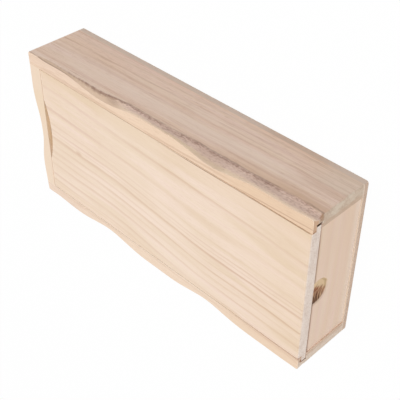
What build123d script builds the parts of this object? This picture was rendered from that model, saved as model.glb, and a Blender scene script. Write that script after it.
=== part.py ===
# Wooden keepsake box. Its flat lid slides in grooves under a carved, wavy rim.
# Millimetres. +X is the open end that the lid draws out of, +Z is up through the lid,
# and the origin is the middle of the underside.
import os
from build123d import *

# Box
box_length = 240.0
box_width = 115.0
box_height = 46.0
side_thickness = 9.0
back_thickness = 11.0
front_thickness = 9.0
front_setback = 0.7  # front end behind the ends of the sides
base_thickness = 4.0
corner_round = 1.8  # upright outer corners
edge_ease = 0.5  # sanded arrises

# Sliding lid and the grooves that it runs in
lid_thickness = 7.2
lid_setback = 0.3  # end of the lid behind the ends of the sides
lip_thickness = 3.0  # wood left above the grooves
groove_depth = 4.5
tongue_reach = 3.2  # how far the lid's tongues enter the grooves
seam_gap = 0.15  # between the lid's upper part and the lips
lid_taper = 0.5  # the lid's right edge draws in by this much towards the open end
tongue_shift = -0.75  # the tongues lie a little to the left in their grooves
far_gap = 0.2  # between the lid's upper part and the back end
tongue_gap = 0.4  # above the tongues
slide_gap = 0.2  # under the tongues
front_gap = 1.1  # between the lid and the front end's top edge
lid_end_round = 1.4  # upper edge of the lid at the open end

# Dished finger scoop under the lid's end, and the finger nick at the lid's far edge
dish_radius = 9.4
dish_depth = 3.4
dish_drop = 3.2  # centre of the dish below the front end's top edge
dish_shift = -1.5
nick_length = 50.0
nick_depth = 4.6
nick_shift = 1.0

# Carved rim of each side, in equal steps from the closed end to the open end, and of the back
# end, from the left corner to the right one. Each row says how far in the rim's edge is cut,
# how far down the wall the cut runs, and how far in the hollow between them is pulled.
right_rim = [
    (0.8, 2.0, 0.3),
    (0.5, 2.0, 0.2),
    (0.7, 2.4, 0.3),
    (1.1, 2.2, 0.5),
    (3.7, 2.2, 1.8),
    (5.1, 2.4, 2.6),
    (3.2, 4.4, 1.8),
    (0.9, 4.7, 1.5),
    (0.6, 4.8, 2.0),
    (0.6, 5.4, 2.4),
    (2.7, 6.2, 2.6),
    (5.0, 6.2, 2.7),
    (3.4, 6.7, 2.8),
    (1.0, 6.8, 3.0),
    (0.6, 7.8, 3.4),
    (0.6, 8.2, 3.8),
    (0.6, 8.2, 4.0),
]
left_rim = [
    (4.6, 4.0, 1.2),
    (2.4, 3.6, 0.6),
    (1.6, 3.6, 0.5),
    (1.4, 4.0, 0.5),
    (3.6, 5.4, 1.0),
    (5.0, 6.2, 1.4),
    (2.7, 5.2, 1.0),
    (0.6, 4.6, 1.0),
    (0.4, 4.8, 1.4),
    (0.4, 5.2, 1.6),
    (2.4, 5.8, 2.0),
    (4.0, 6.2, 2.2),
    (1.9, 6.4, 2.0),
    (0.4, 6.6, 2.2),
    (0.3, 7.2, 2.6),
    (0.3, 7.6, 3.0),
    (0.4, 7.8, 3.2),
]
back_rim = [
    (5.0, 5.0, 1.2),
    (2.9, 4.0, 0.7),
    (2.0, 3.6, 0.5),
    (2.4, 4.0, 0.6),
    (4.6, 5.4, 1.1),
    (5.0, 6.0, 1.3),
    (3.5, 4.6, 0.9),
    (1.0, 2.6, 0.4),
    (0.4, 1.8, 0.3),
    (0.4, 1.6, 0.3),
    (0.7, 1.6, 0.3),
]
hollow_share = 0.75  # level of the hollow's pull, as a share of the cut's run

# Steel pins that hold the base to the walls
pin_radius = 0.7
pin_length = 18.0
pin_head_radius = 1.2
pin_head_height = 1.0
pin_set = 0.4  # head below the underside
pin_gap = 0.05
side_pin_count = 5
side_pin_pitch = 48.0
end_pin_count = 2
end_pin_pitch = 60.0

# Levels and faces that the pieces share
cut_over = 3.0  # cutters run past the wood by this much
rim_over = 0.2  # the rim's cut starts this far above the rim
inner_width = box_width - 2 * side_thickness
wall_height = box_height - base_thickness
side_face = box_width / 2
side_middle = side_face - side_thickness / 2
back_face = -box_length / 2
back_inside = back_face + back_thickness
front_face = box_length / 2 - front_setback
lip_underside = box_height - lip_thickness
lid_underside = box_height - lid_thickness
groove_floor = lid_underside - slide_gap
groove_height = lip_underside - groove_floor
front_top = lid_underside - front_gap

# Pin places, from above
side_pin_run = [(i - (side_pin_count - 1) / 2) * side_pin_pitch for i in range(side_pin_count)]
end_pin_run = [(i - (end_pin_count - 1) / 2) * end_pin_pitch for i in range(end_pin_count)]
right_pins = [(x, side_middle) for x in side_pin_run]
left_pins = [(x, -side_middle) for x in side_pin_run]
back_pins = [(back_face + back_thickness / 2, y) for y in end_pin_run]
front_pins = [(front_face - front_thickness / 2, y) for y in end_pin_run]
all_pins = right_pins + left_pins + back_pins + front_pins
pin_hole_radius = pin_radius + pin_gap
pin_hole_depth = pin_set + pin_length - base_thickness + pin_gap

# Rim cutters: the middle of the wall's upper edge is at the origin, and +Y is out of the wall
rim_cutters = []
for run, rows in ((box_length, right_rim), (box_length, left_rim), (box_width, back_rim)):
    row_step = (run + 2 * cut_over) / (len(rows) - 1)
    with BuildPart() as rim_cutter:
        for i, (inset, reach, hollow) in enumerate(rows):
            with BuildSketch(Plane.YZ.offset(i * row_step - run / 2 - cut_over)):
                with BuildLine():
                    Bezier((-inset, rim_over), (-hollow, -hollow_share * reach), (0, -reach))
                    Polyline(
                        (0, -reach),
                        (cut_over, -reach),
                        (cut_over, cut_over),
                        (-inset, cut_over),
                        (-inset, rim_over),
                    )
                make_face()
        loft()
    rim_cutters.append(rim_cutter.part)
right_cut, left_cut, back_cut = rim_cutters
rim_right = Location((0, side_face, box_height))
rim_back = Location((back_face, 0, box_height), (0, 0, 90))

# Side board: grooved for the lid and bored for its pins, on +Y
with BuildPart() as side_board:
    with Locations((0, side_middle, base_thickness)):
        Box(
            box_length,
            side_thickness,
            wall_height,
            align=(Align.CENTER, Align.CENTER, Align.MIN),
        )
    outer_corners = side_board.edges().filter_by(Axis.Z).group_by(Axis.Y)[-1]
    fillet(outer_corners, radius=corner_round)
    rim_ends = side_board.faces().sort_by(Axis.Z)[-1].edges().filter_by(Axis.Y)
    fillet(rim_ends, radius=edge_ease)
    with Locations((back_inside - groove_depth, side_face - side_thickness, groove_floor)):
        Box(
            box_length,
            groove_depth,
            groove_height,
            align=(Align.MIN, Align.MIN, Align.MIN),
            mode=Mode.SUBTRACT,
        )
    with Locations(*[(x, y, base_thickness) for x, y in right_pins]):
        Cylinder(
            pin_hole_radius,
            pin_hole_depth,
            align=(Align.CENTER, Align.CENTER, Align.MIN),
            mode=Mode.SUBTRACT,
        )

# Right side: the board with its own rim
with BuildPart() as right_side:
    add(side_board.part)
    with Locations(rim_right):
        add(right_cut, mode=Mode.SUBTRACT)
    with Locations(rim_back):
        add(back_cut, mode=Mode.SUBTRACT)
right_side.part.label = "right_side"

# Left side: the same board the other way round, with its own rim
with BuildPart() as left_side_turned:
    add(side_board.part)
    with Locations(rim_right):
        add(left_cut, mode=Mode.SUBTRACT)
with BuildPart() as left_side:
    mirror(left_side_turned.part, about=Plane.XZ)
    with Locations(rim_back):
        add(back_cut, mode=Mode.SUBTRACT)
left_side.part.label = "left_side"

# Back end: closes the box between the sides, and stops the lid
with BuildPart() as back_end:
    with Locations((back_face, 0, base_thickness)):
        Box(
            back_thickness,
            inner_width,
            wall_height,
            align=(Align.MIN, Align.CENTER, Align.MIN),
        )
    with Locations((back_inside, 0, groove_floor)):
        Box(
            groove_depth,
            inner_width,
            groove_height,
            align=(Align.MAX, Align.CENTER, Align.MIN),
            mode=Mode.SUBTRACT,
        )
    with Locations(rim_back):
        add(back_cut, mode=Mode.SUBTRACT)
    with Locations(*[(x, y, base_thickness) for x, y in back_pins]):
        Cylinder(
            pin_hole_radius,
            pin_hole_depth,
            align=(Align.CENTER, Align.CENTER, Align.MIN),
            mode=Mode.SUBTRACT,
        )
back_end.part.label = "back_end"

# Front end: lower than the sides, so that the lid passes over it, with the finger scoop
dish_ball = (dish_radius**2 + dish_depth**2) / (2 * dish_depth)
with BuildPart() as front_end:
    with Locations((front_face, 0, base_thickness)):
        Box(
            front_thickness,
            inner_width,
            front_top - base_thickness,
            align=(Align.MAX, Align.CENTER, Align.MIN),
        )
    with Locations((front_face - dish_depth + dish_ball, dish_shift, front_top - dish_drop)):
        Sphere(dish_ball, mode=Mode.SUBTRACT)
    with Locations(*[(x, y, base_thickness) for x, y in front_pins]):
        Cylinder(
            pin_hole_radius,
            pin_hole_depth,
            align=(Align.CENTER, Align.CENTER, Align.MIN),
            mode=Mode.SUBTRACT,
        )
front_end.part.label = "front_end"

# Base: planted under the walls, flush all round
with BuildPart() as base:
    Box(
        box_length,
        box_width,
        base_thickness,
        align=(Align.CENTER, Align.CENTER, Align.MIN),
    )
    fillet(base.edges().filter_by(Axis.Z), radius=corner_round)
    fillet(base.faces().sort_by(Axis.Z)[0].edges(), radius=edge_ease)
    with Locations(*all_pins):
        Cylinder(
            pin_hole_radius,
            base_thickness,
            align=(Align.CENTER, Align.CENTER, Align.MIN),
            mode=Mode.SUBTRACT,
        )
        Cylinder(
            pin_head_radius + pin_gap,
            pin_set + pin_head_height + pin_gap,
            align=(Align.CENTER, Align.CENTER, Align.MIN),
            mode=Mode.SUBTRACT,
        )
base.part.label = "base"

# Lid: a board with tongues along both sides and the far edge
lid_far = back_inside + far_gap
lid_near = box_length / 2 - lid_setback
lid_edge = inner_width / 2 - seam_gap
nick_radius = (nick_length**2 / 4 + nick_depth**2) / (2 * nick_depth)
with BuildPart() as lid:
    with Locations((lid_near, tongue_shift, lid_underside)):
        Box(
            lid_near - back_inside + tongue_reach,
            inner_width + 2 * tongue_reach,
            lip_underside - tongue_gap - lid_underside,
            align=(Align.MAX, Align.CENTER, Align.MIN),
        )
    with BuildSketch(Plane.XY.offset(lid_underside)):
        Polygon(
            (lid_far, -lid_edge),
            (lid_near, -lid_edge),
            (lid_near, lid_edge - lid_taper),
            (lid_far, lid_edge),
            align=None,
        )
    extrude(amount=lid_thickness)
    near_edge = lid.faces().sort_by(Axis.Z)[-1].edges().sort_by(Axis.X)[-1]
    fillet(near_edge, radius=lid_end_round)
    other_edges = lid.faces().sort_by(Axis.Z)[-1].edges().sort_by(Axis.X)[:-1]
    fillet(other_edges, radius=edge_ease)
    with Locations((lid_far + nick_depth - nick_radius, nick_shift, lip_underside - tongue_gap)):
        Cylinder(
            nick_radius,
            lid_thickness,
            align=(Align.CENTER, Align.CENTER, Align.MIN),
            mode=Mode.SUBTRACT,
        )
lid.part.label = "lid"

# Base pins: one steel pin in each place, head down
with BuildPart() as base_pins:
    with Locations(*[(x, y, pin_set) for x, y in all_pins]):
        Cylinder(
            pin_radius,
            pin_length,
            align=(Align.CENTER, Align.CENTER, Align.MIN),
        )
        Cylinder(
            pin_head_radius,
            pin_head_height,
            align=(Align.CENTER, Align.CENTER, Align.MIN),
        )
base_pins.part.label = "base_pins"

os.makedirs("parts", exist_ok=True)
for piece in (right_side, left_side, back_end, front_end, base, lid, base_pins):
    export_step(piece.part, "parts/" + piece.part.label + ".step")
    print(piece.part.label, "solids", len(piece.part.solids()), "volume", round(piece.part.volume, 1))
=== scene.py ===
import bmesh
import bpy
from mathutils import Matrix, Vector

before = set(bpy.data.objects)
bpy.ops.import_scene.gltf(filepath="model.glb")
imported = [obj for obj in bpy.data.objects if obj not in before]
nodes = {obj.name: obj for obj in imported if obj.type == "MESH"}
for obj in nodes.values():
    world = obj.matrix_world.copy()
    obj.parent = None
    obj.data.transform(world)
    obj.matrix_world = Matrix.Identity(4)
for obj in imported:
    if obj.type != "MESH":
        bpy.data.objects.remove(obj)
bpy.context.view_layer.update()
print("frame loaded:", len(nodes), "boards and pin groups")

scene = bpy.context.scene
scene.view_settings.view_transform = "Standard"


class Wire:
    # one output socket, so that shader sums read as plain expressions
    def __init__(self, finish, socket):
        self.finish = finish
        self.socket = socket

    def calc(self, operation, first, second=0.0):
        return self.finish.node("ShaderNodeMath", {"operation": operation}, {0: first, 1: second})

    def __add__(self, other):
        return self.calc("ADD", self, other)

    def __radd__(self, other):
        return self.calc("ADD", other, self)

    def __sub__(self, other):
        return self.calc("SUBTRACT", self, other)

    def __rsub__(self, other):
        return self.calc("SUBTRACT", other, self)

    def __mul__(self, other):
        return self.calc("MULTIPLY", self, other)

    def __rmul__(self, other):
        return self.calc("MULTIPLY", other, self)

    def __truediv__(self, other):
        return self.calc("DIVIDE", self, other)

    def __rtruediv__(self, other):
        return self.calc("DIVIDE", other, self)

    def __pow__(self, other):
        return self.calc("POWER", self, other)

    def __neg__(self):
        return self.calc("SUBTRACT", 0.0, self)

    def __abs__(self):
        return self.calc("ABSOLUTE", self)

    def smaller(self, other):
        return self.calc("MINIMUM", self, other)

    def larger(self, other):
        return self.calc("MAXIMUM", self, other)


class Finish:
    # a node tree and the nodes that go into it
    def __init__(self, owner):
        owner.use_nodes = True
        self.owner = owner
        self.tree = owner.node_tree
        self.tree.nodes.clear()

    def node(self, kind, settings=None, values=None, out=0):
        made = self.tree.nodes.new(kind)
        for key, value in (settings or {}).items():
            if key == "stops":
                made.color_ramp.elements[0].position, made.color_ramp.elements[0].color = value[0]
                made.color_ramp.elements[1].position, made.color_ramp.elements[1].color = value[-1]
                for position, shade in value[1:-1]:
                    made.color_ramp.elements.new(position).color = shade
            elif key == "interpolation":
                made.color_ramp.interpolation = value
            else:
                setattr(made, key, value)
        for key, value in (values or {}).items():
            if isinstance(value, Wire):
                self.tree.links.new(value.socket, made.inputs[key])
            else:
                made.inputs[key].default_value = value
        return Wire(self, made.outputs[out]) if made.outputs else None

    def vector(self, x, y, z):
        return self.node("ShaderNodeCombineXYZ", None, {0: x, 1: y, 2: z})

    def noise(self, x, y, z, detail=2.0, roughness=0.5):
        return self.node("ShaderNodeTexNoise", None, {"Vector": self.vector(x, y, z), "Scale": 1.0,
                                                      "Detail": detail, "Roughness": roughness})

    def fade(self, value, low, high):
        # 0 below low, 1 above high
        return self.node("ShaderNodeMapRange", {"interpolation_type": "SMOOTHSTEP"},
                         {"Value": value, "From Min": low, "From Max": high})

    def below(self, value, low, high):
        # 1 below low, 0 above high
        return 1.0 - self.fade(value, low, high)

    def between(self, value, low, rise, fall, high):
        # a soft hill from low to high, full between rise and fall
        return self.fade(value, low, rise) * self.below(value, fall, high)

    def ramp(self, value, low, high, points, interpolation):
        # a curve through points (place, level), levels 0 to 1
        stops = [((place - low) / (high - low), (level, level, level, 1)) for place, level in points]
        return self.node("ShaderNodeValToRGB", {"stops": stops, "interpolation": interpolation},
                         {0: (value - low) / (high - low)})

    def mix(self, factor, first, second):
        return self.node("ShaderNodeMix", {"data_type": "RGBA"}, {0: factor, 6: first, 7: second}, 2)

    def split(self, vector):
        parts = self.node("ShaderNodeSeparateXYZ", None, {0: vector}).socket.node
        return [Wire(self, parts.outputs[i]) for i in range(3)]


boxSize = {"half": 120.0, "face": 57.5, "height": 46.0}  # half length, half width and height in mm


def colour(r, g, b):
    # a picture colour, 0 to 255, as Blender's linear colour
    shares = [c / 255 for c in (r, g, b)]
    linear = [c / 12.92 if c <= 0.04045 else ((c + 0.055) / 1.055) ** 2.4 for c in shares]
    return (*linear, 1.0)


def distance(first, second):
    return (first ** 2.0 + second ** 2.0) ** 0.5


def millimetres(fin):
    return [part * 1000.0 for part in fin.split(fin.node("ShaderNodeTexCoord", None, None, "Object"))]


def facings(fin):
    # how squarely a face looks along x, y and z
    return [abs(part) for part in fin.split(fin.node("ShaderNodeTexCoord", None, None, "Normal"))]


# what all the wood has in common

grain = {  # scales along, across and into the board, then detail and roughness
    "bend": (0.012, 0.04, 0.04, 2.0, 0.5),
    "shake": (0.05, 0.2, 0.2, 2.0, 0.5),
    "broad": (0.01, 0.09, 0.06, 2.0, 0.5),
    "streak": (0.005, 0.3, 0.1, 4.0, 0.6),
    "fine": (0.014, 1.1, 0.5, 3.0, 0.6),
    "hair": (0.035, 2.1, 1.1, 3.0, 0.65),
    "fleck": (0.16, 2.4, 1.2, 3.0, 0.6),
    "pores": (0.9, 0.9, 0.3, 4.0, 0.7),
    "blotch": (0.14, 0.25, 0.1, 2.0, 0.5),
}
sheen = {"bump": 0.25, "bumpDepth": 0.0003, "roughShare": 0.12, "specular": 0.3}
rampHolds = 10  # growth lines to a ramp
cutOff = 0.4  # a line's short side, as a share of its slow one


def grainNoise(fin, kind, along, across, deep, seed):
    first, second, third, detail, roughness = grain[kind]
    return fin.noise(along * first + seed, across * second, deep * third, detail, roughness)


def growthLines(fin, place, span, rows):
    # each line darkens slowly on one side and stops short on the other
    low, high = span
    lines = 0.0
    for first in range(0, len(rows), rampHolds):
        points = [(low, 0.0)]
        for middle, width, depth in rows[first:first + rampHolds]:
            begin = max(middle - width, points[-1][0] + 0.05)
            points += [(begin, 0.0), (middle, depth), (middle + width * cutOff, 0.0)]
        points.append((high, 0.0))
        lines = lines + fin.ramp(place, low, high, points, "EASE")
    return lines


def growWood(fin, along, across, deep, endOn, look):
    seed = look["seed"]
    bend = grainNoise(fin, "bend", along, across, deep, seed) - 0.5
    shake = grainNoise(fin, "shake", along, across, deep, seed) - 0.5
    place = across + deep * look["tilt"] + bend * look["sway"] + shake * 1.2
    patch = fin.noise(along * 0.02 + seed, place * 0.12, 4.0)
    lines = growthLines(fin, place, look["span"], look["lines"])
    if "nearLines" in look:
        near = growthLines(fin, place, look["span"], look["nearLines"])
        lines = lines + (near - lines) * fin.fade(along, *look["turn"])
    lines = lines * (fin.fade(patch, 0.25, 0.6) * 0.7 + 0.3)
    broad, streak, fine, hair, fleck = (grainNoise(fin, kind, along, place, deep, seed)
                                        for kind in ("broad", "streak", "fine", "hair", "fleck"))
    face = fin.mix(fin.fade(streak, 0.36, 0.62), look["early"], look["pink"])
    face = fin.mix(fin.fade(broad, 0.42, 0.62) * look["broadShare"], face, look["broad"])
    face = fin.mix(fin.fade(fine, 0.46, 0.72) * look["yellowShare"], face, look["yellow"])
    face = fin.mix(lines, face, look["late"])
    face = fin.mix(fin.fade(hair, 0.5, 0.78) * look["hairShare"], face, look["late"])
    face = fin.mix(fin.fade(fleck, 0.52, 0.75) * look["fleckShare"], face, look["late"])
    # end grain: greyer, with pores
    pores = grainNoise(fin, "pores", across, deep, along, seed)
    blotch = grainNoise(fin, "blotch", across, deep, along, seed) - 0.5
    cut = fin.mix(fin.fade(pores + blotch * look["blotch"], 0.35, 0.7), look["endLight"], look["endDark"])
    cut = fin.mix(lines * 0.5, cut, look["endDark"])
    ends = fin.fade(endOn, 0.4, 0.95)
    rise = fine * 0.5 + hair * 0.6 - lines * 0.3
    return fin.mix(ends, face, cut), rise


def finishWood(fin, face, rise, look):
    bump = fin.node("ShaderNodeBump", None,
                    {"Strength": sheen["bump"], "Distance": sheen["bumpDepth"], "Height": rise})
    rough = rise * sheen["roughShare"] + look["rough"]
    shader = fin.node("ShaderNodeBsdfPrincipled", None,
                      {"Base Color": face, "Roughness": rough, "Normal": bump,
                       "Specular IOR Level": sheen["specular"]})
    fin.node("ShaderNodeOutputMaterial", None, {"Surface": shader})
    return fin.owner


# lid

lidLook = {
    "seed": 3.7, "span": (-62.0, 62.0), "tilt": 0.5, "sway": 2.5, "turn": (-45.0, 35.0),
    "rough": 0.55, "blotch": 0.4,
    "yellowShare": 0.4, "hairShare": 0.3, "fleckShare": 0.24, "broadShare": 0.6,
    "lines": [(-46.0, 2.4, 0.44), (-43.0, 1.2, 0.3), (-40.5, 1.8, 0.38), (-35.0, 2.8, 0.45),
              (-26.0, 2.8, 0.45), (-20.0, 1.8, 0.3), (-14.5, 2.8, 0.45), (-9.0, 2.0, 0.35),
              (-2.5, 3.0, 0.55), (1.0, 1.2, 0.28), (4.0, 2.2, 0.42), (9.0, 1.6, 0.24),
              (21.0, 3.2, 0.34), (37.5, 3.0, 0.38)],
    "nearLines": [(-46.0, 2.0, 0.25), (-43.0, 1.0, 0.15), (-40.5, 1.5, 0.2), (-35.0, 2.0, 0.25),
                  (-26.0, 2.0, 0.35), (-20.0, 1.0, 0.2), (-14.5, 1.6, 0.6), (-9.0, 1.0, 0.25),
                  (-2.5, 2.0, 0.6), (1.0, 1.0, 0.3), (4.0, 1.2, 0.5), (9.0, 1.0, 0.2),
                  (21.0, 3.0, 0.08), (37.5, 2.5, 0.35)],
    "early": colour(245, 223, 202), "pink": colour(247, 224, 207), "yellow": colour(241, 219, 189),
    "broad": colour(233, 209, 180), "late": colour(198, 155, 122),
    "endLight": colour(246, 231, 219), "endDark": colour(226, 206, 192),
    "toned": colour(232, 204, 170), "pale": colour(252, 233, 215), "clean": colour(255, 243, 230),
    "nickTint": colour(242, 228, 204), "edgeShadeTint": colour(138, 98, 64), "backSeamLight": colour(255, 233, 211),
    "slitShadeTint": colour(100, 70, 46), "sawnTint": colour(232, 196, 160), "seamShadowTint": colour(140, 96, 60),
    "farEnd": 110.0, "knotAt": (-75.0, -2.2), "nickMiddle": 1.0,
    "edgeFrom": 108.8, "edgeAt": 48.35, "edgeDraw": 0.0022,  # where the right edge starts and how it draws in
}


def lidWood():
    fin = Finish(bpy.data.materials.new("lidWood"))
    look = lidLook
    x, y, z = millimetres(fin)
    endOn, sideOn = facings(fin)[:2]
    depth = boxSize["height"] - z
    # lines fall towards the left on their way to the open end, in one slow step on the left half
    run = x + look["farEnd"]
    step = fin.fade(x, -55.0, 55.0) * 8.5 + run * 0.016
    fall = step + (run * 0.05 - step) * fin.fade(y, -8.0, 28.0)
    face, rise = growWood(fin, x, y + fall, z - boxSize["height"], endOn, look)
    # yellower beside the boards and at the open end
    toned = fin.fade(y, 33.0, 46.0) * 0.3 + fin.fade(x, 60.0, 115.0) * 0.2
    toned = toned + fin.below(y, -46.0, -37.0) * fin.below(x, -25.0, 15.0) * 0.28
    toned = toned + fin.below(x, -95.0, -70.0) * fin.fade(y, 14.0, 30.0) * 0.15
    face = fin.mix(toned * fin.below(endOn, 0.55, 0.85), face, look["toned"])
    # paler in the middle of the right half and on most of the left
    rightPale = fin.between(x, -55.0, -40.0, -2.0, 14.0) * fin.fade(y, -6.0, 8.0)
    leftPale = fin.below(y, -4.0, 14.0) * fin.below(x, 10.0, 75.0)
    face = fin.mix(rightPale * 0.2, face, look["pale"])
    face = fin.mix(leftPale * 0.25, face, look["pale"])
    # a pin knot
    spot = distance((x - look["knotAt"][0]) * 0.45, y - look["knotAt"][1])
    face = fin.mix(fin.below(spot, 0.3, 2.2) * 0.35, face, look["late"])
    # the nick's sawn face, painted paler than sawn wood and palest towards its right end: painted light that
    # lifts the shade inside the narrow nick
    sunk = fin.fade(depth, 0.5, 1.2)
    nick = fin.below(x, -104.6, -104.0) * fin.below(abs(y - look["nickMiddle"]), 24.0, 25.0) * sunk
    face = fin.mix(nick * 0.8, face, look["nickTint"])
    face = fin.mix(nick * fin.fade(y, 13.0, 21.0) * 0.6, face, look["clean"])
    # painted light: the lid's back edge in the seam is painted near white to lift the seam's shade
    face = fin.mix(fin.below(x, -108.4, -107.6) * (1.0 - nick) * 0.9, face, look["backSeamLight"])
    # painted shade: the lid's side edges are darkened to draw the seams' shadow, except on the left and where
    # the right edge keeps its sawn tan
    onRight = fin.fade(y, 40.0, 45.0) * fin.fade(x, -10.0, 30.0)
    onLeft = fin.below(y, -10.0, 10.0)
    seamShade = fin.fade(x, -60.0, -30.0) * 0.15 + 0.26 - fin.fade(x, -26.0, -8.0) * 0.2
    edge = fin.fade(sideOn, 0.45, 0.8) * seamShade
    face = fin.mix(edge * (1.0 - onRight) * (1.0 - onLeft), face, look["edgeShadeTint"])
    face = fin.mix(fin.fade(sideOn, 0.6, 0.9) * onRight * 0.6, face, look["sawnTint"])
    # painted shade: a dark line in the eased edge beside the right board, drawing the seam's shadow
    edgeLine = y + (x + look["edgeFrom"]) * look["edgeDraw"] - look["edgeAt"]
    rim = edgeLine + depth * 1.16 + 0.6 - fin.fade(x, 20.0, 110.0) * 0.57
    seamShadowLine = fin.between(rim, -0.5, -0.12, 0.02, 0.36) * onRight * fin.below(x, 117.4, 118.6)
    seamShadowLine = seamShadowLine * (fin.fade(x, 12.0, 34.0) * 0.4 + 0.45 - fin.fade(x, 52.0, 66.0) * 0.3)
    face = fin.mix(seamShadowLine, face, look["seamShadowTint"])
    # painted shade: the tongues' edges are darkened to draw the shadow in the slits
    tongue = fin.fade(abs(y), 49.5, 50.0) * fin.fade(sideOn, 0.7, 0.9)
    face = fin.mix(tongue * 0.9, face, look["slitShadeTint"])
    return finishWood(fin, face, rise, look)


# sides, with the live edge along their rims

sideLook = {
    "seed": 11.3, "seedShift": {"right_side": 0.0, "left_side": 40.0}, "span": (-12.0, 68.0),
    "tilt": 0.9, "sway": 2.0, "turn": (-50.0, 60.0), "rough": 0.58, "blotch": 0.8,
    "yellowShare": 0.5, "hairShare": 0.74, "fleckShare": 0.5, "broadShare": 0.4,
    "lines": [(3.5, 3.0, 0.3), (8.5, 3.0, 0.2), (15.0, 1.6, 0.5), (20.0, 3.0, 0.3), (24.5, 3.5, 0.25),
              (33.0, 4.0, 0.08), (39.0, 3.0, 0.2), (47.0, 2.0, 0.2), (53.0, 1.5, 0.35)],
    "nearLines": [(3.5, 2.5, 0.45), (8.5, 2.0, 0.3), (13.5, 1.4, 0.5), (17.5, 1.5, 0.35), (21.0, 2.0, 0.3),
                  (29.5, 2.5, 0.3), (34.5, 2.5, 0.4), (39.0, 3.0, 0.3), (47.0, 2.0, 0.2), (53.0, 1.5, 0.35)],
    "early": colour(243, 219, 202), "pink": colour(241, 214, 199), "yellow": colour(236, 208, 177),
    "broad": colour(236, 204, 178), "late": colour(190, 150, 120),
    "pale": colour(244, 222, 204), "warm": colour(222, 188, 160), "cool": colour(206, 206, 192),
    "clean": colour(255, 241, 224),
    "endLight": colour(224, 207, 187), "endDark": colour(206, 182, 160), "endInner": colour(206, 172, 144),
    "endPale": colour(240, 220, 203), "endFoot": colour(236, 218, 202),
    "lip": {"right_side": colour(246, 218, 189), "left_side": colour(248, 225, 201)},
    "lipWarm": colour(234, 201, 168), "lipWarmth": {"right_side": 0.6, "left_side": 0.35},
    "lipEnd": colour(216, 172, 136),
    # veins: start, slope, half width, strength and stretch along the board
    "veins": [(8.4, 0.014, 1.5, 0.5, (-112.0, -100.0, -50.0, -15.0)),
              (8.07, -0.034, 1.3, 0.6, (-12.0, 0.0, 45.0, 80.0)),
              (11.27, -0.042, 0.7, 1.1, (60.0, 75.0, 118.0, 122.0))],
    "veinTint": colour(205, 170, 142), "veinShare": {"right_side": 0.65, "left_side": 0.25},
    "gritShare": {"right_side": 0.42, "left_side": 0.26},
    "cornerRound": 1.8, "grooveFrom": 4.3, "chipAt": (6.5, 2.6),
    "grooveTint": colour(150, 98, 58), "seamTint": colour(216, 172, 126),
}
barkLook = {
    "tanFirst": colour(219, 191, 166), "tan": colour(253, 227, 201), "grey": colour(229, 201, 185),
    "olive": colour(214, 190, 150), "fleck": colour(176, 146, 130), "crease": colour(120, 83, 71),
    "pale": colour(238, 219, 208), "endStep": colour(168, 124, 90), "bruiseAt": (-38.5, 2.2),
    "span": (-123.0, 123.0), "every": 15.375, "deepest": 10.0,  # for the rows of depths
}
barkDepths = {
    "right_side": [2.0, 2.0, 2.4, 2.2, 2.2, 2.4, 4.4, 4.7, 4.8, 5.4, 6.2, 6.2, 6.7, 6.8, 7.8, 8.2, 8.2],
    "left_side": [4.0, 3.6, 3.6, 4.0, 5.4, 6.2, 5.2, 4.6, 4.8, 5.2, 5.8, 6.2, 6.4, 6.6, 7.2, 7.6, 7.8],
}


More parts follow.
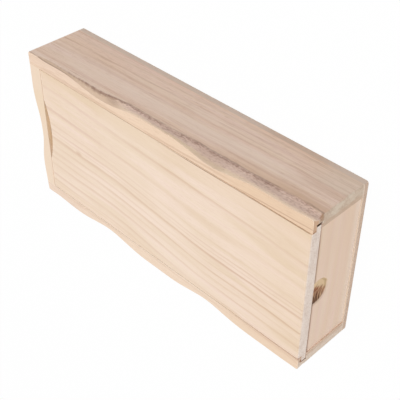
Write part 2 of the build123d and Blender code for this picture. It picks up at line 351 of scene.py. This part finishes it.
def sideWood(name):
    fin = Finish(bpy.data.materials.new(name + "Wood"))
    look, bark = sideLook, barkLook
    x, y, z = millimetres(fin)
    endOn, sideOn, topOn = facings(fin)
    inset = boxSize["face"] - abs(y)
    depth = boxSize["height"] - z
    seedShift = look["seedShift"][name]
    onEnd = fin.fade(endOn, 0.7, 0.9)
    offEnd = 1.0 - onEnd
    face, rise = growWood(fin, x + seedShift, z + x * 0.017, inset, endOn, look)
    # zones of the wall: a pale band, and warmer wood along its edges at the open end
    wall = fin.below(inset, 1.0, 1.6) * offEnd
    band = fin.between(z + x * 0.045, 23.0, 27.5, 32.0, 37.0) * fin.between(x, -118.0, -80.0, 70.0, 105.0)
    face = fin.mix(band * wall * 0.45, face, look["pale"])
    warm = fin.fade(x, 25.0, 95.0) * (fin.between(depth, 6.0, 8.5, 9.5, 18.0) + fin.below(z, 3.5, 6.0))
    face = fin.mix(warm * wall * 0.55, face, look["warm"])
    # two dusky streaks at the open end, a fair one in the middle, and a cooler foot
    dusk = fin.between(z, 18.5, 20.5, 23.5, 26.5) * 0.3 + fin.between(z, 32.5, 34.0, 35.5, 37.0) * 0.28
    face = fin.mix(dusk * fin.fade(x, 78.0, 104.0) * wall, face, look["late"])
    fair = fin.between(z, 12.5, 14.5, 18.5, 20.5) * fin.between(x, -55.0, -35.0, 75.0, 90.0)
    face = fin.mix(fair * wall * 0.15, face, look["clean"])
    cool = fin.fade(x, 84.0, 108.0) * fin.below(z, 17.0, 21.0)
    face = fin.mix(cool * wall * 0.2, face, look["cool"])
    # end grain, browner beside the end board
    inner = fin.fade(inset + (fin.noise(z * 0.15, 3.0, seedShift) - 0.5) * 3.0, 5.6, 6.8)
    if name == "left_side":
        face = fin.mix(onEnd * 0.45, face, look["endPale"])
    face = fin.mix(onEnd * inner * 0.5, face, look["endInner"])
    face = fin.mix(onEnd * fin.below(z, 4.2, 5.4) * 0.5, face, look["endFoot"])
    # lips
    lip = fin.fade(topOn, 0.75, 0.95) * fin.below(depth, 0.2, 0.6)
    face = fin.mix(lip * (fin.fade(x, -100.0, -20.0) * 0.25 + 0.45), face, look["lip"][name])
    face = fin.mix(lip * fin.fade(x, 35.0, 80.0) * look["lipWarmth"][name], face, look["lipWarm"])
    # grain lines run out along the lip, with short dark flecks between them
    wander = fin.noise(x * 0.06 + seedShift, 5.0, 1.0) - 0.5
    veins = 0.0
    for start, slope, half, strength, stretch in look["veins"]:
        away = abs(inset - start - x * slope + wander)
        veins = veins + fin.below(away, half * 0.2, half) * fin.between(x, *stretch) * strength
    face = fin.mix(veins * lip * look["veinShare"][name], face, look["veinTint"])
    grit = fin.noise(x * 0.13 + seedShift, inset * 1.9, 7.0, 3.0, 0.65)
    face = fin.mix(fin.fade(grit, 0.5, 0.7) * lip * look["gritShare"][name], face, look["veinTint"])
    # the edge at the lid has a little tan on the right; on the left its face in the seam is painted pale,
    # painted light that lifts the seam's shade, and towards the open end a band beside the seam is darkened,
    # painted shade for the seam line
    atLid = fin.below(depth, 3.0, 3.2) * offEnd
    if name == "right_side":
        seam = fin.fade(inset, 8.2, 9.2) * atLid * (fin.fade(x, -50.0, 15.0) * 0.05 + 0.15)
        face = fin.mix(seam, face, look["seamTint"])
    else:
        clean = fin.fade(inset, 8.5, 9.0) * atLid * fin.below(x, 20.0, 110.0)
        face = fin.mix(clean * 0.9, face, look["clean"])
        seamShade = fin.fade(inset, 6.6, 8.4) * atLid * fin.fade(x, 45.0, 115.0)
        face = fin.mix(seamShade * 0.4, face, look["veinTint"])
    # the rounded upright corners are wall, not bark
    corner = (abs(x) - (boxSize["half"] - look["cornerRound"])).larger(0.0)
    roundOff = look["cornerRound"] - (look["cornerRound"] ** 2 - corner * corner).larger(0.0) ** 0.5
    cutIn = inset - roundOff
    low, high = bark["span"]
    depths = [(low + bark["every"] * i, d / bark["deepest"]) for i, d in enumerate(barkDepths[name])]
    reach = fin.ramp(x, low, high, depths, "CARDINAL") * bark["deepest"]
    share = depth / reach
    cutFace = fin.between(cutIn, 0.03, 0.2, 5.4, 5.8) * fin.fade(depth, 0.02, 0.1) * offEnd
    cutFace = cutFace * (1.0 - fin.fade(inset, 4.2, 4.4) * fin.fade(depth, 2.7, 2.9))
    torn = fin.noise(x * 0.14 + seedShift, depth * 0.7, inset * 0.7, 3.0, 0.6)
    stroke = fin.noise(x * 0.4 + depth * 0.3 + seedShift, depth * 1.5 - x * 0.16, inset * 1.5, 4.0, 0.65)
    # bark: tan along its edge, then grey with short strokes
    strip = fin.mix(fin.fade(x, -36.0, -20.0), bark["tanFirst"], bark["tan"])
    greyed = fin.fade(share + (torn - 0.5) * 0.5, 0.14, 0.66) * fin.fade(x, -42.0, -20.0)
    strip = fin.mix(greyed, strip, bark["grey"])
    olive = fin.between(share + (stroke - 0.5) * 0.5, 0.0, 0.1, 0.3, 0.5)
    olive = olive * fin.between(x, -5.0, 15.0, 55.0, 75.0)
    strip = fin.mix(olive * 0.35, strip, bark["olive"])
    lower = fin.fade(share, 0.4, 0.9) * fin.between(x, -20.0, 30.0, 84.0, 98.0)
    strip = fin.mix(lower * 0.25, strip, bark["fleck"])
    strip = fin.mix(fin.below(stroke, 0.3, 0.48) * 0.35, strip, bark["pale"])
    flecks = fin.fade(stroke + share * 0.1, 0.55, 0.68) * fin.fade(share, 0.1, 0.35)
    strip = fin.mix(flecks * fin.fade(x, -45.0, -15.0) * 0.5, strip, bark["fleck"])
    strip = fin.mix(fin.between(x, 28.0, 38.0, 52.0, 60.0) * 0.3, strip, bark["fleck"])
    face = fin.mix(cutFace, face, strip)
    # its fuzzy dark foot spreads into the wall, thinner in the first hollow
    second = fin.fade(x, -45.0, -20.0)
    shallow = fin.below(inset, 5.4, 5.8)
    fray = ((torn - 0.5) * 2.0 + (stroke - 0.5) * 1.8) * (second * 0.6 + 0.4)
    frayed = (depth - reach + 0.1 - second * 0.3 + fray) * (1.4 - second * 0.4)
    foot = fin.between(frayed, -1.5, -0.2, 0.2, 1.4) * (fin.fade(x, -118.0, -52.0) * 0.85 - second * 0.12)
    foot = foot * shallow * offEnd
    mottle = fin.noise(x * 0.08 + seedShift, 2.0, 6.0) + fin.fade(stroke, 0.35, 0.62) * 0.6 + 0.25
    spots = fin.fade(fin.noise(x * 0.3 + seedShift, 3.0, 8.0), 0.35, 0.62) * 0.6 + 0.4
    foot = foot * ((mottle - spots) * second + spots)
    weak = fin.between(x, 0.0, 6.0, 16.0, 22.0) * 0.3
    weaker = fin.between(x, 86.0, 96.0, 106.0, 115.0) * 0.5
    face = fin.mix(foot * (1.0 - weak - weaker) * 0.62, face, bark["crease"])
    # a dark line along the foot of the first hollow
    core = fin.between(frayed, -0.9, -0.2, 0.0, 0.35) * fin.between(x, -90.0, -50.0, -32.0, -20.0) * offEnd
    face = fin.mix(core * shallow * 0.45, face, bark["crease"])
    # and a finer one along the plain edge beyond it: painted shade where the wall's top edge turns
    arris = fin.between(depth, -0.1, 0.15, 0.5, 1.1) * fin.below(x, -90.0, -68.0)
    arris = arris * fin.fade(sideOn, 0.4, 0.8) * fin.below(inset, 2.0, 3.0)
    face = fin.mix(arris * 0.35, face, bark["crease"])
    if name == "right_side":
        # a bruise at the end of the first hollow
        bruise = distance((x - bark["bruiseAt"][0]) * 0.2, depth - bark["bruiseAt"][1])
        face = fin.mix(fin.below(bruise, 0.3, 1.7) * fin.below(inset, 5.0, 5.6) * 0.24, face, bark["crease"])
        # the lip's end is tan, beside the lid it is darkened with the groove's painted shade next to the
        # slit, and the bark ends in a brown step
        lipEnd = onEnd * fin.below(depth, 3.6, 5.0) * fin.fade(x, 0.0, 100.0)
        face = fin.mix(lipEnd * 0.75, face, look["lipEnd"])
        face = fin.mix(lipEnd * fin.fade(inset, 7.7, 8.6) * 0.6, face, look["grooveTint"])
        stepDown = fin.fade(x, 118.4, 119.6) * fin.between(depth, 4.2, 6.0, 7.5, 8.8)
        face = fin.mix(stepDown * fin.below(inset, 3.5, 5.0) * 0.7, face, bark["endStep"])
    else:
        # a chip in the lip's end
        chip = distance(inset - look["chipAt"][0], depth - look["chipAt"][1])
        chipped = onEnd * fin.below(chip, 0.7, 1.6) * fin.fade(x, 0.0, 100.0)
        face = fin.mix(chipped * 0.95, face, look["grooveTint"])
    # groove for the lid, painted dark: painted shade inside the groove
    groove = fin.fade(inset, look["grooveFrom"], look["grooveFrom"] + 0.1)
    groove = groove * fin.between(depth, 2.9, 3.0, 7.6, 7.8) * offEnd
    groove = groove * (1.0 - fin.fade(topOn, 0.7, 0.9) * fin.fade(x, 112.0, 117.0))
    groove = groove * (0.8 if name == "right_side" else 0.8 - fin.fade(x, 105.0, 115.0) * 0.6)
    face = fin.mix(groove, face, look["grooveTint"])
    return finishWood(fin, face, rise, look)


# ends

endLook = {
    "seed": 23.1, "span": (-12.0, 60.0), "tilt": 0.6, "sway": 3.0, "rough": 0.58, "blotch": 0.5,
    "yellowShare": 0.35, "hairShare": 0.1, "fleckShare": 0.06, "broadShare": 0.5,
    "lines": [(5.0, 4.0, 0.05), (12.0, 5.0, 0.08), (21.0, 6.0, 0.06), (31.0, 6.0, 0.08), (42.0, 5.0, 0.06)],
    "early": colour(241, 217, 195), "pink": colour(241, 213, 196), "yellow": colour(238, 213, 184),
    "broad": colour(238, 210, 182), "late": colour(208, 170, 138),
    "endLight": colour(226, 206, 184), "endDark": colour(205, 182, 160),
    "lip": colour(245, 223, 199), "sawn": colour(240, 216, 184),
    "foot": colour(255, 240, 226), "shadeUnderLid": colour(176, 138, 112), "grainFrom": 119.0,
}
dishLook = {
    "face": 119.3, "middle": (-1.5, 34.5), "depth": 3.4, "tip": (-8.3, 2.6), "slant": (0.86, 0.51),
    "tan": colour(234, 206, 167), "olive": colour(198, 168, 122), "gap": colour(210, 168, 130),
    "brown": colour(148, 90, 62), "scorch": colour(96, 62, 40), "tipShade": colour(70, 44, 30),
}


def frontWood():
    fin = Finish(bpy.data.materials.new("frontWood"))
    look, dish = endLook, dishLook
    x, y, z = millimetres(fin)
    sideOn = facings(fin)[1]
    face, rise = growWood(fin, y, z + y * 0.05, x - look["grainFrom"], sideOn, look)
    # painted light above the base, lifting the seam's shade there, and painted shade under the lid
    foot = fin.below(z, 4.5, 11.0) * 0.45 + fin.below(z, 4.1, 5.4) * 0.4
    face = fin.mix(foot, face, look["foot"])
    shadeUnderLid = fin.fade(z, 36.2, 37.5) * (0.5 - fin.fade(y, 34.0, 46.0) * 0.4)
    face = fin.mix(shadeUnderLid, face, look["shadeUnderLid"])
    # finger scoop: clean on the right, torn and scorched where the cutter left the wood
    aside = y - dish["middle"][0]
    above = z - dish["middle"][1]
    out = distance(aside, above)
    hollow = fin.between(dish["face"] - x, 0.03, 0.2, dish["depth"] + 0.3, dish["depth"] + 0.8)
    hollow = hollow * fin.below(out, 9.4, 9.8)
    hollow = hollow * (1.0 - fin.fade(above, -1.2, 0.4) * fin.fade(aside + above * 0.5, 4.6, 6.2))
    hollow = hollow * (1.0 - fin.fade(out, 8.2, 9.0) * fin.fade(-aside - above, 4.0, 7.5))
    # strokes run down from the left to the right
    along = aside * dish["slant"][0] - above * dish["slant"][1]
    over = aside * dish["slant"][1] + above * dish["slant"][0]
    tear = fin.noise(along * 0.2, over * 0.7, 2.0, 3.0, 0.6)
    tuft = fin.noise(along * 0.16 + 9.0, over * 1.7, 5.0, 2.0, 0.55)
    burnt = fin.below(aside - above * 0.4 + (tear - 0.5) * 9.0, 0.2, 3.2)
    wedge = fin.between(over, -2.4, -1.4, -0.4, 0.4) * fin.fade(along, -3.0, 1.0)
    burnt = burnt * (1.0 - wedge * 0.75) * (1.0 - fin.fade(-above, 3.2, 5.0) * 0.2)
    loop = fin.between(out + tear - 0.5, 7.2, 8.2, 8.7, 9.4) * fin.fade(aside - above, 3.0, 7.0)
    inside = fin.mix(loop * 0.7, dish["tan"], dish["olive"])
    scorched = fin.mix(fin.fade(along, -5.0, 1.0), dish["scorch"], dish["brown"])
    strokes = fin.mix(fin.fade(tuft, 0.39, 0.5), dish["gap"], scorched)
    inside = fin.mix(burnt, inside, strokes)
    # painted shade at the far tip, where the gap under the lid shows
    tip = distance(aside - dish["tip"][0], above - dish["tip"][1])
    inside = fin.mix(fin.below(tip, 0.4, 1.8) * 0.65, inside, dish["tipShade"])
    face = fin.mix(hollow, face, inside)
    return finishWood(fin, face, rise, look)


backLook = {
    **endLook, "seed": 27.4, "tilt": 0.7, "sway": 4.0, "hairShare": 0.3, "fleckShare": 0.2,
    "lines": [(4.0, 2.0, 0.3), (8.5, 2.5, 0.35), (14.0, 3.0, 0.3), (20.5, 3.5, 0.35), (28.0, 3.5, 0.3),
              (35.5, 3.0, 0.35), (42.0, 2.5, 0.3), (47.0, 2.0, 0.3)],
    "grainShift": (70.0, 3.0),
}


def backWood():
    fin = Finish(bpy.data.materials.new("backWood"))
    look = backLook
    x, y, z = millimetres(fin)
    endOn, sideOn, topOn = facings(fin)
    inset = x + boxSize["half"]
    depth = boxSize["height"] - z
    face, rise = growWood(fin, y + look["grainShift"][0], z + look["grainShift"][1], inset, sideOn, look)
    cutFace = fin.between(inset, 0.03, 0.3, 5.4, 5.8) * fin.fade(depth, 0.02, 0.1)
    face = fin.mix(cutFace * 0.6, face, barkLook["tan"])
    # cream lip, and a sawn face where the nick shows it; elsewhere the face in the back seam is painted near
    # white, painted light that lifts the seam's shade
    lip = fin.fade(topOn, 0.75, 0.95) * fin.below(depth, 0.2, 0.6)
    face = fin.mix(lip * 0.7, face, look["lip"])
    face = fin.mix(lip * fin.between(y, 5.0, 16.0, 26.0, 34.0) * 0.4, face, look["sawn"])
    sawn = fin.fade(endOn, 0.7, 0.9) * fin.fade(x, -109.5, -109.2) * fin.fade(z, 42.5, 43.0)
    inNick = fin.below(abs(y - lidLook["nickMiddle"]), 17.0, 24.0) * fin.fade(y, -22.0, -8.0)
    face = fin.mix(sawn * inNick * 0.6, face, look["sawn"])
    face = fin.mix(sawn * (1.0 - inNick) * 0.9, face, lidLook["backSeamLight"])
    return finishWood(fin, face, rise, look)


# base

baseLook = {
    "seed": 31.9, "span": (-64.0, 64.0), "tilt": 0.8, "sway": 6.0, "rough": 0.6, "blotch": 0.5,
    "yellowShare": 0.4, "hairShare": 0.24, "fleckShare": 0.15, "broadShare": 0.4,
    "lines": [(-52.0, 3.0, 0.3), (-40.0, 4.0, 0.35), (-27.0, 4.0, 0.3), (-12.0, 5.0, 0.35), (6.0, 5.0, 0.3),
              (22.0, 4.0, 0.35), (35.0, 3.0, 0.3), (46.0, 3.0, 0.35), (54.0, 2.5, 0.3)],
    "early": colour(236, 208, 184), "pink": colour(232, 203, 184), "yellow": colour(230, 204, 170),
    "broad": colour(230, 200, 172), "late": colour(200, 160, 128),
    "endLight": colour(226, 201, 180), "endDark": colour(205, 178, 157), "ledge": colour(250, 232, 212),
    "edge": colour(212, 198, 186),
}


def baseWood():
    fin = Finish(bpy.data.materials.new("baseWood"))
    look = baseLook
    x, y, z = millimetres(fin)
    endOn, sideOn = facings(fin)[:2]
    face, rise = growWood(fin, x, y, z, endOn, look)
    # greyer along its long edges, with one darker stretch
    edge = fin.fade(sideOn, 0.5, 0.85)
    face = fin.mix(edge * 0.6, face, look["edge"])
    face = fin.mix(edge * fin.between(x, 40.0, 60.0, 86.0, 104.0) * 0.3, face, look["late"])
    # painted light on the ledge under the end board, lifting the shade of the recess there
    face = fin.mix(fin.fade(x, 118.6, 119.2) * fin.fade(z, 3.3, 3.8) * 0.75, face, look["ledge"])
    return finishWood(fin, face, rise, look)


# pins

pinLook = {
    "dark": colour(170, 171, 174), "light": colour(202, 203, 206), "rough": 0.22, "roughShare": 0.2,
    "brushAcross": 6.0, "brushAlong": 0.6,
}


def pinSteel():
    fin = Finish(bpy.data.materials.new("pinSteel"))
    look = pinLook
    x, y, z = millimetres(fin)
    brush = fin.noise(x * look["brushAcross"], y * look["brushAcross"], z * look["brushAlong"], 3.0)
    shade = fin.mix(brush, look["dark"], look["light"])
    rough = brush * look["roughShare"] + look["rough"]
    shader = fin.node("ShaderNodeBsdfPrincipled", None,
                      {"Base Color": shade, "Metallic": 1.0, "Roughness": rough})
    fin.node("ShaderNodeOutputMaterial", None, {"Surface": shader})
    return fin.owner


finishes = {"lid": lidWood(), "right_side": sideWood("right_side"), "left_side": sideWood("left_side"),
            "front_end": frontWood(), "back_end": backWood(), "base": baseWood(), "base_pins": pinSteel()}
for node, finish in finishes.items():
    nodes[node].material_slots[0].material = finish
print("finishes made:", len(finishes))


# floor, light and camera

stageLook = {
    "floorSize": 6.0, "floorDrop": 0.0002, "floorShade": 0.94, "shadowShare": 0.025,
    "worldStrength": 0.5, "lampAim": (0.0, 0.0, 0.03),
}
lamps = {
    "keyLamp": {"place": (0.0, 0.25, 1.4), "size": 1.0, "power": 8.2},
    "endLamp": {"place": (1.0, -0.25, 0.45), "size": 0.6, "power": 1.4},
    "fillLamp": {"place": (-0.45, -0.35, 0.7), "size": 0.5, "power": 0.45},
}
cameraLook = {
    "sensor": 36.0, "lens": 76.54, "place": (0.3068, 0.3341, 0.3140),
    "right": (0.70635, 0.00279, -0.70786), "down": (0.44982, -0.7739, 0.44581),
    "ahead": (-0.54657, -0.6333, -0.5479),
}


def seenDirectly(fin):
    path = fin.node("ShaderNodeLightPath").socket.node
    camera, glossy, through = (Wire(fin, path.outputs[kind])
                               for kind in ("Is Camera Ray", "Is Glossy Ray", "Is Transmission Ray"))
    return (camera + glossy + through).smaller(1.0)


def makeFloor():
    mesh = bpy.data.meshes.new("floor")
    shape = bmesh.new()
    bmesh.ops.create_grid(shape, x_segments=1, y_segments=1, size=stageLook["floorSize"])
    bmesh.ops.translate(shape, verts=shape.verts, vec=(0, 0, -stageLook["floorDrop"]))
    shape.to_mesh(mesh)
    shape.free()
    floor = bpy.data.objects.new("floor", mesh)
    scene.collection.objects.link(floor)
    fin = Finish(bpy.data.materials.new("paleFloor"))
    grey = stageLook["floorShade"]
    matt = fin.node("ShaderNodeBsdfDiffuse", None, {"Color": (grey, grey, grey, 1)})
    white = fin.node("ShaderNodeEmission", None, {"Color": (1, 1, 1, 1), "Strength": 1.0})
    seen = seenDirectly(fin) * (1.0 - stageLook["shadowShare"])
    shader = fin.node("ShaderNodeMixShader", None, {0: seen, 1: matt, 2: white})
    fin.node("ShaderNodeOutputMaterial", None, {"Surface": shader})
    mesh.materials.append(fin.owner)


def makeWorld():
    scene.world = bpy.data.worlds.new("studio")
    fin = Finish(scene.world)
    level = stageLook["worldStrength"]
    strength = seenDirectly(fin) * (1.0 - level) + level
    back = fin.node("ShaderNodeBackground", None, {"Color": (1, 1, 1, 1), "Strength": strength})
    fin.node("ShaderNodeOutputWorld", None, {"Surface": back})


def addLamp(name, look):
    lamp = bpy.data.lights.new(name, "AREA")
    lamp.shape = "DISK"
    lamp.size = look["size"]
    lamp.energy = look["power"]
    holder = bpy.data.objects.new(name, lamp)
    holder.location = look["place"]
    ahead = Vector(stageLook["lampAim"]) - Vector(look["place"])
    holder.rotation_euler = ahead.to_track_quat("-Z", "Y").to_euler()
    scene.collection.objects.link(holder)


def makeCamera():
    data = bpy.data.cameras.new("camera")
    data.sensor_width = cameraLook["sensor"]
    data.lens = cameraLook["lens"]
    camera = bpy.data.objects.new("camera", data)
    right, down, ahead = (Vector(cameraLook[key]) for key in ("right", "down", "ahead"))
    turn = Matrix((right, -down, -ahead)).transposed()
    camera.matrix_world = Matrix.Translation(cameraLook["place"]) @ turn.to_4x4()
    scene.collection.objects.link(camera)
    scene.camera = camera


makeFloor()
makeWorld()
for name, look in lamps.items():
    addLamp(name, look)
makeCamera()
print("stage set")
